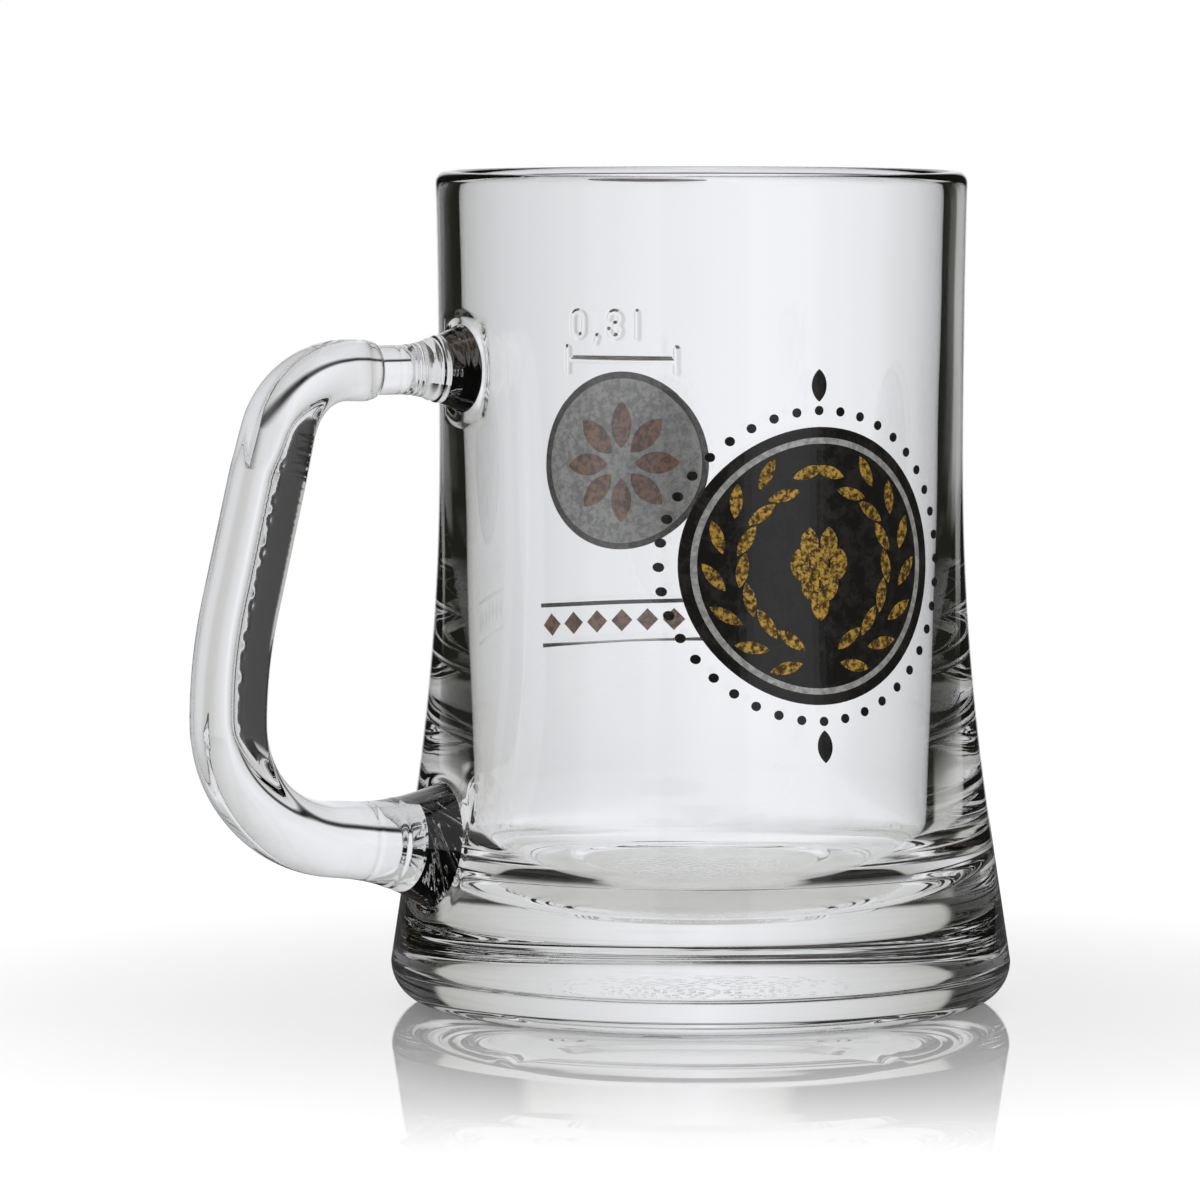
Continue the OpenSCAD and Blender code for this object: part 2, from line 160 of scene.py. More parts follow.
def stipple(r, turn):
    """Height of the stipple under the base: rings one pitch apart, each cut into dashes. A dash stands
    where a scrambled number of its ring and place falls below the density there."""
    ring = np.round(r / STIPPLE_PITCH)
    dashes = np.maximum(np.round(2 * np.pi * ring * STIPPLE_PITCH / STIPPLE_DASH), 1)
    along = turn / (2 * np.pi) * dashes
    place = np.floor(along)
    scrambled = np.sin(ring * SCRAMBLE[0] + place * SCRAMBLE[1]) * SCRAMBLE[2]
    density = np.where(r < STIPPLE_DENSE_R, STIPPLE_DENSE_SHARE, STIPPLE_THIN_SHARE)
    density = density * (r < STIPPLE_R - STIPPLE_PITCH)
    stands = scrambled - np.floor(scrambled) < density
    across = 0.5 + 0.5 * np.cos(2 * np.pi * (r / STIPPLE_PITCH - ring))
    return STIPPLE_H * stands * across * np.sin(np.pi * (along - place)) ** 2


def put_mesh(name, points, faces, smooth=True):
    """A new mesh object at the origin from point rows and lists of corner numbers."""
    mesh = bpy.data.meshes.new(name)
    mesh.from_pydata(np.asarray(points).tolist(), [], faces)
    mesh.polygons.foreach_set("use_smooth", np.full(len(mesh.polygons), smooth))
    mesh.update()
    piece = bpy.data.objects.new(name, mesh)
    bpy.context.scene.collection.objects.link(piece)
    return piece


def glass_material(name):
    """Clear glass with a trace of grey green."""
    material = bpy.data.materials.new(name)
    material.use_nodes = True
    shader = material.node_tree.nodes["Principled BSDF"]
    shader.inputs["Base Color"].default_value = GLASS_COLOUR
    shader.inputs["Roughness"].default_value = GLASS_ROUGHNESS
    shader.inputs["IOR"].default_value = GLASS_IOR
    shader.inputs["Transmission Weight"].default_value = 1.0
    return material


# Handle
# The handle is a separate pressed rod, set on the hot wall at two places. Its upper arm thins to a
# round neck before the weld. The grip is flat on its inner side, where the shears and the mould left
# it striped and ragged, and its foot spreads on the wall.

WELD_Z = 0.0969
ARM_LEN = 0.0184
TOP_BEND_R = 0.0116
GRIP_LEAN = np.radians(13.1)
GRIP_LEN = 0.0262
SWELL_R = 0.075
LOW_BEND_R = 0.0181
ARM_FALL = np.radians(6.2)
BOSS_D = 0.0132
BOSS_LEN = 0.0094
BOSS_CURVE = 1.5
NECK_D = 0.0074
NECK_LEN = 0.0046
SHOULDER_LEN = 0.0024
ARM_D = 0.0092
GRIP_OUT = 0.0055
GRIP_IN = 0.0038
GRIP_W = 0.0138
WIDEST_IN = 0.003
OUTER_POWER = 2.4
INNER_POWER = 3.4
SWELL_LEN = 0.024
FLAT_LEN = 0.016
FOOT_H = 0.019
FOOT_W = 0.0164
FOOT_ARM_T = 0.0116
FOOT_LEN = 0.0146
WELD_LEAN = 0.008
# Where the ripples and the ragged edge begin, are strongest and end, from the top of the grip
RIPPLE_REACH = -0.004, 0.006, 0.034
RIPPLE_H = 0.00003
RIPPLE_PITCH = 0.0011
RAGGED_REACH = -0.006, 0.012, 0.062
RAGGED_H = 0.00007
RAGGED_PITCH = 0.0042
RAGGED_TURN = np.radians(45)
RAGGED_SPREAD = 0.1
RAGGED_SHIFT = 0.04
# The sines of an uneven wave, each with its strength, fineness and start
UNEVEN_SINES = (1, 1, 0), (0.7, 1.63, 1.3), (0.6, 0.57, 0.4)
UNEVEN_PEAK = 1.7
BOSS_RINGS = 0.0038, 0.0061
BOSS_RING_PITCH = 0.00115
NECK_RING_S = 0.009
NECK_RING_HALF = 0.0006
FOOT_RING_S = 0.0076
FOOT_RING_HALF = 0.0008
RING_SHARE = 0.035
TOP_BEND_LEN = TOP_BEND_R * (np.pi / 2 - GRIP_LEAN)
LOW_BEND_LEN = LOW_BEND_R * (np.pi / 2 - ARM_FALL)
SECTION_STEPS = 96
HANDLE_STEP = 0.00024
RUN_STEP = 0.00005
FOOT_REACH = 0.05


def handle_run():
    """Distances along the handle, its middle line (radius, height) and heading, from weld to weld.

    The heading falls evenly along each bend and stays on each straight. The middle line adds up the
    steps and goes on straight after the last bend, until it meets the wall.
    """
    turns = [0, 0, np.pi / 2 - GRIP_LEAN, 0, GRIP_LEAN, np.pi / 2 - ARM_FALL]
    lengths = [0, ARM_LEN, TOP_BEND_LEN, GRIP_LEN, SWELL_R * GRIP_LEAN, LOW_BEND_LEN]
    ends = np.cumsum(lengths)
    heading = -np.cumsum(turns)
    fine = np.arange(0, ends[-1] + FOOT_REACH, RUN_STEP)
    way = np.interp(fine, ends, heading)
    step = np.diff(fine)
    middle = (way[1:] + way[:-1]) / 2
    radius = wall_radius(np.float64(WELD_Z)) + np.append(0, np.cumsum(step * np.cos(middle)))
    height = WELD_Z + np.append(0, np.cumsum(step * np.sin(middle)))
    inside = (fine > ends[-1]) & (radius < wall_radius(height))
    last = int(np.argmax(inside))
    s = np.linspace(0, fine[last], int(round(fine[last] / HANDLE_STEP)))
    return s, np.interp(s, fine, radius), np.interp(s, fine, height), np.interp(s, fine, way)


def section_half(s, total, weld, arm, grip, low_arm, foot):
    """Half size of the section: the boss falls to the neck as a power of the distance, a quarter round
    rises to the arm, which swells evenly to the grip and on to the lower arm, and the foot flares
    as a parabola."""
    neck = NECK_D / 2
    boss = neck + (weld - neck) * (1 - np.clip(s / BOSS_LEN, 0, 1)) ** BOSS_CURVE
    past_neck = s - BOSS_LEN - NECK_LEN
    shoulder = neck + (arm - neck) * np.sqrt(1 - (1 - np.clip(past_neck / SHOULDER_LEN, 0, 1)) ** 2)
    swell = (grip - arm) * np.clip((past_neck - SHOULDER_LEN) / SWELL_LEN, 0, 1)
    lower = (low_arm - grip) * (1 - np.clip((total - s - FOOT_LEN) / LOW_BEND_LEN, 0, 1))
    flare = (foot - low_arm) * (1 - np.clip((total - s) / FOOT_LEN, 0, 1)) ** 2
    return np.where(past_neck < 0, boss, shoulder + swell + lower + flare)


def rise_and_fall(s, start, top, end):
    """A weight that rises from 0 at the start to 1 at the top and falls to 0 at the end, with soft
    corners."""
    share = np.interp(s, [start, top, end], [0, 1, 0])
    return share * share * (3 - 2 * share)


def wander(s, pitch):
    """An uneven wave between about -1 and 1: three sines whose lengths have no common measure."""
    turn = 2 * np.pi * s / pitch
    waves = sum(strength * np.sin(turn * finer + start) for strength, finer, start in UNEVEN_SINES)
    return waves / UNEVEN_PEAK


def bow(wave, power):
    """A sine or cosine of a rounded oval: power 2 is a true oval, more is squarer."""
    return np.sign(wave) * np.abs(wave) ** (2 / power)


def handle_rings():
    """Rings of points along the handle. A section is a rounded oval whose widest line lies toward the
    mug on the grip, with a squarer inner side. Near a weld it leans over to lie on the wall."""
    s, radius, height, heading = handle_run()
    total = s[-1]
    out_half = section_half(s, total, BOSS_D / 2, ARM_D / 2, GRIP_OUT, FOOT_ARM_T / 2, FOOT_H / 2)
    in_half = section_half(s, total, BOSS_D / 2, ARM_D / 2, GRIP_IN, FOOT_ARM_T / 2, FOOT_H / 2)
    half_w = section_half(s, total, BOSS_D / 2, ARM_D / 2, GRIP_W / 2, GRIP_W / 2, FOOT_W / 2)
    past_shoulder = s - BOSS_LEN - NECK_LEN - SHOULDER_LEN
    flat = np.clip(past_shoulder / FLAT_LEN, 0, 1) * np.clip((total - s - FOOT_LEN) / LOW_BEND_LEN, 0, 1)
    on_boss = (s > BOSS_RINGS[0]) & (s < BOSS_RINGS[1])
    raised = RING_SHARE * on_boss * np.abs(np.sin(np.pi * (s - BOSS_RINGS[0]) / BOSS_RING_PITCH))
    raised += RING_SHARE / 2 * rise_and_fall(
        s, NECK_RING_S - NECK_RING_HALF, NECK_RING_S, NECK_RING_S + NECK_RING_HALF)
    raised += RING_SHARE / 3 * rise_and_fall(
        total - s, FOOT_RING_S - FOOT_RING_HALF, FOOT_RING_S, FOOT_RING_S + FOOT_RING_HALF)
    s, flat, raised = s[:, None], flat[:, None], raised[:, None]
    a = 2 * np.pi * np.arange(SECTION_STEPS) / SECTION_STEPS
    outer = np.sin(a) > 0
    power = 2 + flat * (np.where(outer, OUTER_POWER, INNER_POWER) - 2)
    widest = flat * WIDEST_IN
    depth = np.where(outer, out_half[:, None] + widest, in_half[:, None] - widest)
    out = depth * bow(np.sin(a), power) * (1 + raised) - widest
    y = -half_w[:, None] * bow(np.cos(a), power) * (1 + raised)
    grip_start = ARM_LEN + TOP_BEND_LEN
    inner_turn = 1.5 * np.pi
    striped = rise_and_fall(s, *[grip_start + reach for reach in RIPPLE_REACH]) * flat
    out += RIPPLE_H * striped * wander(s, RIPPLE_PITCH) * np.clip(-np.sin(a), 0, 1)
    ragged = rise_and_fall(s, *[grip_start + reach for reach in RAGGED_REACH]) * flat
    near = np.exp(-(((np.abs(a - inner_turn) - RAGGED_TURN) / RAGGED_SPREAD) ** 2))
    out += RAGGED_H * ragged * near * wander(s + RAGGED_SHIFT * (a > inner_turn), RAGGED_PITCH)
    heading = heading[:, None]
    rho = radius[:, None] - out * np.sin(heading)
    z = height[:, None] + out * np.cos(heading)
    on_wall = np.sqrt(wall_radius(z) ** 2 - y**2)
    lean = np.clip(1 - np.minimum(s, total - s) / WELD_LEAN, 0, 1) ** 2
    from_wall = np.where(s < total / 2, radius[:, None] - radius[0], radius[:, None] - radius[-1])
    rho = (1 - lean) * rho + lean * (on_wall + from_wall)
    return np.stack([-rho, y, z], 2)


rings = handle_rings()
number = np.arange(rings.shape[0] * SECTION_STEPS).reshape(-1, SECTION_STEPS)
ahead = np.roll(number, -1, axis=1)
handle_faces = np.stack([number[:-1], ahead[:-1], ahead[1:], number[1:]], 2).reshape(-1, 4)
handle = put_mesh("handle_glass", rings.reshape(-1, 3), handle_faces.tolist())
handle.data.materials.append(glass_material("handle_glass"))
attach(handle, "root")
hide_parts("handle")

# Fill mark
# The calibration line, its two ticks and the capacity in litres stand a quarter of a millimetre proud
# of the wall, between the handle and the front. They are pressed with the vessel, from grooves in
# the mould.

FILL_TURN = np.radians(317)
FILL_Z = 0.099
FILL_L = 0.0174
FILL_T = 0.0008
TICK_H = 0.0042
FIGURE_H = 0.0044
FIGURE_GAP = 0.003
DIGIT_W = 0.58 * FIGURE_H
COMMA_LEAN = np.radians(20)
FILL_RELIEF = 0.00025
FILL_ROUND = 0.00035
FILL_CELL = 0.00018
FIGURE_STEPS = 18


def fill_lines():
    """The middle lines of the mark's strokes, as rows of start and end points on the flat."""
    def strokes(*points):
        path = np.array(points)
        return np.hstack([path[:-1], path[1:]])

    def arc(x, z, r, start, end):
        a = np.radians(np.linspace(start, end, FIGURE_STEPS + 1))
        return np.column_stack([x + r * np.cos(a), z + r * np.sin(a)])

    figure_z = FILL_Z + FIGURE_GAP + FIGURE_H / 2
    three_x = -FILL_T
    pitch = DIGIT_W + 2 * FILL_T
    nought_x, litre_x = three_x - pitch - 2 * FILL_T, three_x + pitch - FILL_T
    half_l, half_h = (FILL_L - FILL_T) / 2, (FIGURE_H - FILL_T) / 2
    round_r, straight = (DIGIT_W - FILL_T) / 2, (FIGURE_H - DIGIT_W) / 2
    nought = np.vstack([arc(nought_x, figure_z + straight, round_r, 0, 180),
                        arc(nought_x, figure_z - straight, round_r, 180, 360)])
    tail = FILL_T / 2 * np.array([np.sin(COMMA_LEAN), np.cos(COMMA_LEAN)])
    comma = np.array([(nought_x + three_x) / 2, figure_z - FIGURE_H / 2])
    ring_r, half_tick = half_h / 2, (TICK_H - FILL_T) / 2
    return np.vstack([
        strokes((-half_l, FILL_Z), (half_l, FILL_Z)),
        *[strokes((x, FILL_Z - half_tick), (x, FILL_Z + half_tick)) for x in (-half_l, half_l)],
        strokes(*nought, nought[0]),
        strokes(comma - tail, comma + tail),
        strokes(*arc(three_x, figure_z + ring_r, ring_r, 180, -90)),
        strokes(*arc(three_x, figure_z - ring_r, ring_r, 90, -180)),
        strokes((litre_x, figure_z - half_h), (litre_x, figure_z + half_h))])


def fill_relief(x, z):
    """How far the mark stands out: full on a stroke's middle line, and falling as an S curve to nothing
    at its edge. Uses the least distance from each point to any stroke."""
    lines = fill_lines()
    start, run = lines[:, :2], lines[:, 2:] - lines[:, :2]
    from_start = np.stack([x, z], 1)[:, None] - start
    share = np.clip((from_start * run).sum(2) / (run**2).sum(1), 0, 1)
    gap = np.linalg.norm(from_start - share[:, :, None] * run, axis=2).min(1)
    rise = np.clip((FILL_T / 2 - gap) / FILL_ROUND + 0.5, 0, 1)
    return FILL_RELIEF * rise * rise * (3 - 2 * rise)


def on_wall(x, z, turn, lift):
    """Places a flat drawing seen from outside on the wall: x runs across, z is the height, and the
    drawing is turned about the axis from the front."""
    r = wall_radius(z) + lift
    a = turn - np.pi / 2 + np.arcsin(x / r)
    return np.column_stack([r * np.cos(a), r * np.sin(a), z])


# Vessel with its welds
# The wall is turned in rows and columns. Round each weld its grid closes in on the outline of the
# handle's end, and round the fill mark it gives way to a finer patch, so the glass is one skin.

UPPER_COLLAR_H = 0.00022
LOWER_COLLAR_H = 0.00005
COLLAR_SHARE = 0.4
PATCH_RINGS = 14
# Columns and rows of the wall's grid that give way to each patch
UPPER_BLOCK = 24, 24
LOWER_BLOCK = 22, 26
MARK_BLOCK = 28, 16
# Each wave of the bore: how often it goes round, its climb in radians a metre, and its start
BORE_WAVES = (3, 70, 0), (5, -130, 1), (11, 210, 0)
# Flat drawings are cut into triangles in millimetres, only inside a border or out to the hull
FLAT_SCALE = 1000
INSIDE_BORDER, OUT_TO_HULL = 1, 0
MARK_EPSILON = 1e-7
PRINT_EPSILON = 1e-6


def block_edge(outline, wall_start, middle_z, middle_turn, wide, high):
    """The first row and column of a block of the wall's grid, and the rows and columns round its edge."""
    rows = np.arange(wall_start, wall_start + WALL_ROWS)
    middle_row = wall_start + int(np.argmin(np.abs(outline[rows, 1] - middle_z)))
    middle_column = int(round(middle_turn / (2 * np.pi) * ROUND_STEPS))
    i0, j0 = middle_row - high // 2, middle_column - wide // 2
    i = np.concatenate([np.zeros(wide), np.arange(high), np.full(wide, high), np.arange(high, 0, -1)])
    j = np.concatenate([np.arange(wide), np.full(high, wide), np.arange(wide, 0, -1), np.zeros(high)])
    return i0, j0, (i0 + i).astype(int), (j0 + j).astype(int)


def weld_patch(loop, edge_turn, edge_z, collar_h):
    """Rings of points on the wall, from the outline of a handle's end out to the edge of its block. The
    first rings rise to a low collar, as a squared sine."""
    loop_turn = np.pi + np.arctan2(-loop[:, 1], -loop[:, 0])
    share = np.linspace(0, 1, PATCH_RINGS + 1)[:-1, None]
    turn = loop_turn + (edge_turn - loop_turn) * share
    z = loop[:, 2] + (edge_z - loop[:, 2]) * share
    r = wall_radius(z) + collar_h * np.sin(np.pi * np.clip(share / COLLAR_SHARE, 0, 1)) ** 2
    return np.stack([r * np.cos(turn), r * np.sin(turn), z], 2).reshape(-1, 3)


def mark_patch(edge_x, edge_z, edge_numbers, first):
    """The fill mark and the wall round it: a fine lattice cut into triangles with the edge of its block,
    and raised by the mark's relief. New points are numbered on from the first."""
    margin = 3 * FILL_CELL
    x, z = np.meshgrid(np.arange(edge_x.min() + margin, edge_x.max() - margin, FILL_CELL),
                       np.arange(edge_z.min() + margin, edge_z.max() - margin, FILL_CELL))
    x, z = np.append(edge_x, x), np.append(edge_z, z)
    flat = [Vector(point) for point in (np.column_stack([x, z]) * FLAT_SCALE).tolist()]
    border = list(range(len(edge_x)))
    cut = delaunay_2d_cdt(flat, [], [border], INSIDE_BORDER, MARK_EPSILON)
    triangles, source = np.array(cut[2]), np.array([sources[0] for sources in cut[3]])
    inner = source >= len(edge_x)
    numbers = np.empty(len(source), int)
    numbers[~inner] = edge_numbers[source[~inner]]
    numbers[inner] = first + np.arange(inner.sum())
    x, z = x[source[inner]], z[source[inner]]
    return on_wall(x, z, FILL_TURN, fill_relief(x, z)), numbers[triangles].tolist()


def vessel_mesh():
    """The outline turned round the axis, with patches let into the wall and a pole at each end."""
    outline, wall_start, bore_start = turned_outline()
    turn = 2 * np.pi * np.arange(ROUND_STEPS) / ROUND_STEPS
    r, z = np.broadcast_arrays(outline[:, :1] + 0 * turn, outline[:, 1:] + 0 * turn)
    rows = len(outline)
    row = np.arange(rows)[:, None]
    z = z - np.where(r < STIPPLE_R, stipple(r, turn), 0) * (row < wall_start)
    fade = np.clip((HEIGHT - z) / CORNER_R, 0, 1) * np.clip((z - FLOOR_Z) / CORNER_R, 0, 1)
    waves = sum(np.sin(times * turn + climb * z + start) for times, climb, start in BORE_WAVES)
    r = r + BORE_WAVE * fade * (row >= bore_start) * waves
    points = [np.stack([r * np.cos(turn), r * np.sin(turn), z], 2).reshape(-1, 3)]
    grid = np.arange(rows * ROUND_STEPS).reshape(rows, ROUND_STEPS)
    ahead = np.roll(grid, -1, axis=1)
    quads = np.stack([grid[:-1], ahead[:-1], ahead[1:], grid[1:]], 2)
    kept = np.ones((rows - 1, ROUND_STEPS), bool)
    count = grid.size
    faces = []
    welds = (rings[0], UPPER_BLOCK, UPPER_COLLAR_H, False), (rings[-1], LOWER_BLOCK, LOWER_COLLAR_H, True)
    for loop, (wide, high), collar_h, upside_down in welds:
        i0, j0, edge_i, edge_j = block_edge(outline, wall_start, loop[:, 2].mean(), np.pi, wide, high)
        kept[i0:i0 + high, j0:j0 + wide] = False
        if upside_down:
            edge_i = 2 * i0 + high - edge_i
        loop = np.roll(loop, wide // 2 - SECTION_STEPS * 3 // 4, axis=0)
        points.append(weld_patch(loop, turn[edge_j], outline[edge_i, 1], collar_h))
        numbers = count + np.arange(PATCH_RINGS * SECTION_STEPS).reshape(-1, SECTION_STEPS)
        numbers = np.vstack([numbers, grid[edge_i, edge_j]])
        count += PATCH_RINGS * SECTION_STEPS
        beside = np.roll(numbers, -1, axis=1)
        ring_faces = np.stack([numbers[:-1], numbers[1:], beside[1:], beside[:-1]], 2).reshape(-1, 4)
        faces += (ring_faces[:, ::-1] if upside_down else ring_faces).tolist()
    mark_turn = FILL_TURN - np.pi / 2
    wide, high = MARK_BLOCK
    middle_z = FILL_Z + (FIGURE_GAP + FIGURE_H - TICK_H / 2) / 2
    i0, j0, edge_i, edge_j = block_edge(outline, wall_start, middle_z, mark_turn, wide, high)
    kept[i0:i0 + high, j0:j0 + wide] = False
    edge_x = outline[edge_i, 0] * np.sin(turn[edge_j] - mark_turn)
    mark, mark_faces = mark_patch(edge_x, outline[edge_i, 1], grid[edge_i, edge_j], count)
    points.append(mark)
    count += len(mark)
    faces += mark_faces
    points.append(np.array([[0, 0, RECESS + PUSH_UP], [0, 0, FLOOR_Z - DISH_DEPTH]]))
    under_pole, floor_pole = np.full(ROUND_STEPS, count), np.full(ROUND_STEPS, count + 1)
    faces += np.column_stack([under_pole, ahead[0], grid[0]]).tolist()
    faces += np.column_stack([floor_pole, grid[-1], ahead[-1]]).tolist()
    return np.vstack(points), quads[kept].tolist() + faces


vessel = put_mesh("vessel_glass", *vessel_mesh())
vessel.data.materials.append(glass_material("vessel_glass"))
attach(vessel, "root")
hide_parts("vessel")

# Front decoration
# A medallion of screen-printed enamels fired into the wall: a gloss black ground with a mottled gold
# wreath of barley and a hop cone, a silver ring, and black beads round it.

ENAMEL_T = 0.0001
ENAMEL_SINK = 0.00002
PRINT_CELL = 0.0011
FRONT_Z = 0.0688
GROUND_D = 0.0408
RING_D = 0.0368
RING_W = 0.0009
WREATH_D = 0.0272
EAR_START = 78
EAR_SWEEP = 150
GRAIN_PAIRS = 7
GRAIN_L = 0.0052
GRAIN_W = 0.0018
GRAIN_GAP = 0.0002
GRAIN_LEAN = 24
SCALE_L = 0.0048
SCALE_W = 0.0029
SCALE_GAP = 0.0003
SCALE_RISE = 0.003
CONE_TOP = 0.0057
CONE_ROWS = 2, 3, 2, 1
BEAD_COUNT = 40
BEAD_D = 0.0014
BEAD_STEPS = 16
BEAD_RING_D = 0.0456
TIP_LEAF_L = 0.0048
TIP_LEAF_W = 0.0024
TIP_GAP = 0.0006
BLOTCH_DETAIL = 8
BLOTCH_ROUGHNESS = 0.72
BLOTCH_SPREAD = 0.16
SPECK_FINENESS = 6
SPECK_STRENGTH = 0.15
SPECK_H = 0.00005
WORN_ROUGHNESS = 0.15


def circle(d, steps=96):
    """Points round a circle about the origin."""
    a = 2 * np.pi * np.arange(steps) / steps
    return np.column_stack([np.cos(a), np.sin(a)]) * d / 2


def leaf(length, width, steps=12):
    """A pointed leaf from the origin along the second axis, between two arcs of one radius."""
    r = (length**2 + width**2) / width / 4
    half = np.arcsin(length / 2 / r)
    a = np.linspace(-half, half, steps + 1)[:-1]
    right_side = np.column_stack([r * np.cos(a) - r + width / 2, r * np.sin(a) + length / 2])
    return np.vstack([right_side, [0, length] - right_side])


def set_at(outline, x, z, degrees=0):
    """An outline turned about the origin and then moved."""
    c, s = np.cos(np.radians(degrees)), np.sin(np.radians(degrees))
    return outline @ np.array([[c, s], [-s, c]]) + [x, z]


def barley_ear():
    """Grain pairs that follow the wreath's circle up the right side, each leaning from the stem, and
    a last grain."""
    grains = []
    for i in range(GRAIN_PAIRS):
        for side in (-1, 1):
            leaning = set_at(leaf(GRAIN_L, GRAIN_W), 0, 0, -side * GRAIN_LEAN)
            grain = leaning + [(WREATH_D + side * (GRAIN_W + GRAIN_GAP)) / 2, 0]
            grains.append(set_at(grain, 0, FRONT_Z, EAR_SWEEP / GRAIN_PAIRS * i - EAR_START))
    return grains + [set_at(leaf(GRAIN_L, GRAIN_W) + [WREATH_D / 2, 0], 0, FRONT_Z, EAR_SWEEP - EAR_START)]


def lay_print(shapes, turn):
    """Cuts overlapping outlines into triangles on the flat, where the last outline that holds a triangle
    gives its colour. Each colour becomes a closed skin on the wall, a little sunk into the glass."""
    loops = [outline for _, outline in shapes]
    ends = np.cumsum([len(loop) for loop in loops])
    borders = [list(range(end - len(loop), end)) for end, loop in zip(ends, loops)]
    edge = np.vstack(loops)
    low, high = edge.min(0), edge.max(0)
    lattice = np.meshgrid(*[np.arange(a, b, PRINT_CELL) for a, b in zip(low, high)])
    flat = np.vstack([edge, np.stack(lattice, 2).reshape(-1, 2)]) * FLAT_SCALE
    cut = delaunay_2d_cdt([Vector(point) for point in flat.tolist()], [], borders, OUT_TO_HULL, PRINT_EPSILON)
    corners, triangles = np.array(cut[0]) / FLAT_SCALE, np.array(cut[2])
    on_top = np.array([max(holders, default=-1) for holders in cut[5]])
    colour_of = np.array([colour for colour, _ in shapes] + [""])
    skins = {}
    for colour in sorted(set(colour_of[:-1])):
        used, faces = np.unique(triangles[colour_of[on_top] == colour], return_inverse=True)
        faces = faces.reshape(-1, 3)
        x, z = corners[used].T
        points = np.vstack([on_wall(x, z, turn, ENAMEL_T), on_wall(x, z, turn, -ENAMEL_SINK)])
        a, b = faces.ravel(), np.roll(faces, -1, axis=1).ravel()
        lone = ~np.isin(a * len(used) + b, b * len(used) + a)
        a, b = a[lone], b[lone]
        sides = np.column_stack([b, a, a + len(used), b + len(used)])
        skins[colour] = points, faces.tolist() + (faces[:, ::-1] + len(used)).tolist() + sides.tolist()
    return skins


def mottle_group():
    """Blotches and fine specks of a fired print: a soft noise as a mask and a much finer one as a height."""
    group = bpy.data.node_groups.new("fired_mottle", "ShaderNodeTree")
    group.interface.new_socket("Scale", in_out="INPUT", socket_type="NodeSocketFloat")
    group.interface.new_socket("Share", in_out="INPUT", socket_type="NodeSocketFloat")
    for name in ("Blotch", "Height"):
        group.interface.new_socket(name, in_out="OUTPUT", socket_type="NodeSocketFloat")
    nodes, links = group.nodes, group.links
    given, result = nodes.new("NodeGroupInput"), nodes.new("NodeGroupOutput")
    place = nodes.new("ShaderNodeTexCoord")
    blotch, speck = nodes.new("ShaderNodeTexNoise"), nodes.new("ShaderNodeTexNoise")
    blotch.inputs["Detail"].default_value = BLOTCH_DETAIL
    blotch.inputs["Roughness"].default_value = BLOTCH_ROUGHNESS
    finer = nodes.new("ShaderNodeMath")
    finer.operation = "MULTIPLY"
    finer.inputs[1].default_value = SPECK_FINENESS
    spread = nodes.new("ShaderNodeMapRange")
    spread.interpolation_type = "SMOOTHSTEP"
    reach = nodes.new("ShaderNodeMath")
    reach.inputs[1].default_value = BLOTCH_SPREAD
    for noise in (blotch, speck):
        links.new(place.outputs["Object"], noise.inputs["Vector"])
    links.new(given.outputs["Scale"], blotch.inputs["Scale"])
    links.new(given.outputs["Scale"], finer.inputs[0])
    links.new(finer.outputs[0], speck.inputs["Scale"])
    links.new(given.outputs["Share"], reach.inputs[0])
    links.new(given.outputs["Share"], spread.inputs["From Min"])
    links.new(reach.outputs[0], spread.inputs["From Max"])
    links.new(blotch.outputs["Fac"], spread.inputs["Value"])
    links.new(spread.outputs["Result"], result.inputs["Blotch"])
    links.new(speck.outputs["Fac"], result.inputs["Height"])
    return group


MOTTLE = mottle_group()


def fired_material(name, colour, worn, scale, share, roughness, metallic):
    """Fired enamel: one colour that gives way to a darker one in blotches, with a fine uneven gloss."""
    material = bpy.data.materials.new(name)
    material.use_nodes = True
    nodes, links = material.node_tree.nodes, material.node_tree.links
    shader = nodes["Principled BSDF"]
    shader.inputs["Metallic"].default_value = metallic
    mottle = nodes.new("ShaderNodeGroup")
    mottle.node_tree = MOTTLE
    mottle.inputs["Scale"].default_value = scale
    mottle.inputs["Share"].default_value = share
    mix = nodes.new("ShaderNodeMix")
    mix.data_type = "RGBA"
    mix.inputs["A"].default_value = (*worn, 1)
    mix.inputs["B"].default_value = (*colour, 1)
    gloss = nodes.new("ShaderNodeMapRange")
    gloss.inputs["To Min"].default_value = roughness + WORN_ROUGHNESS
    gloss.inputs["To Max"].default_value = roughness
    bump = nodes.new("ShaderNodeBump")
    bump.inputs["Strength"].default_value = SPECK_STRENGTH
    bump.inputs["Distance"].default_value = SPECK_H
    links.new(mottle.outputs["Blotch"], mix.inputs["Factor"])
    links.new(mottle.outputs["Blotch"], gloss.inputs["Value"])
    links.new(mottle.outputs["Height"], bump.inputs["Height"])
    links.new(mix.outputs["Result"], shader.inputs["Base Color"])
    links.new(gloss.outputs["Result"], shader.inputs["Roughness"])
    links.new(bump.outputs["Normal"], shader.inputs["Normal"])
    return material


def put_print(skins, side, materials):
    """One piece for each colour of a print, in place of the solid of that colour."""
    for colour, (points, faces) in skins.items():
        piece = put_mesh(f"{side}_{colour}_print", points, faces, smooth=False)
        piece.data.materials.append(materials[colour])
        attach(piece, "root")
        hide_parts(f"{side}_{colour}_enamel")


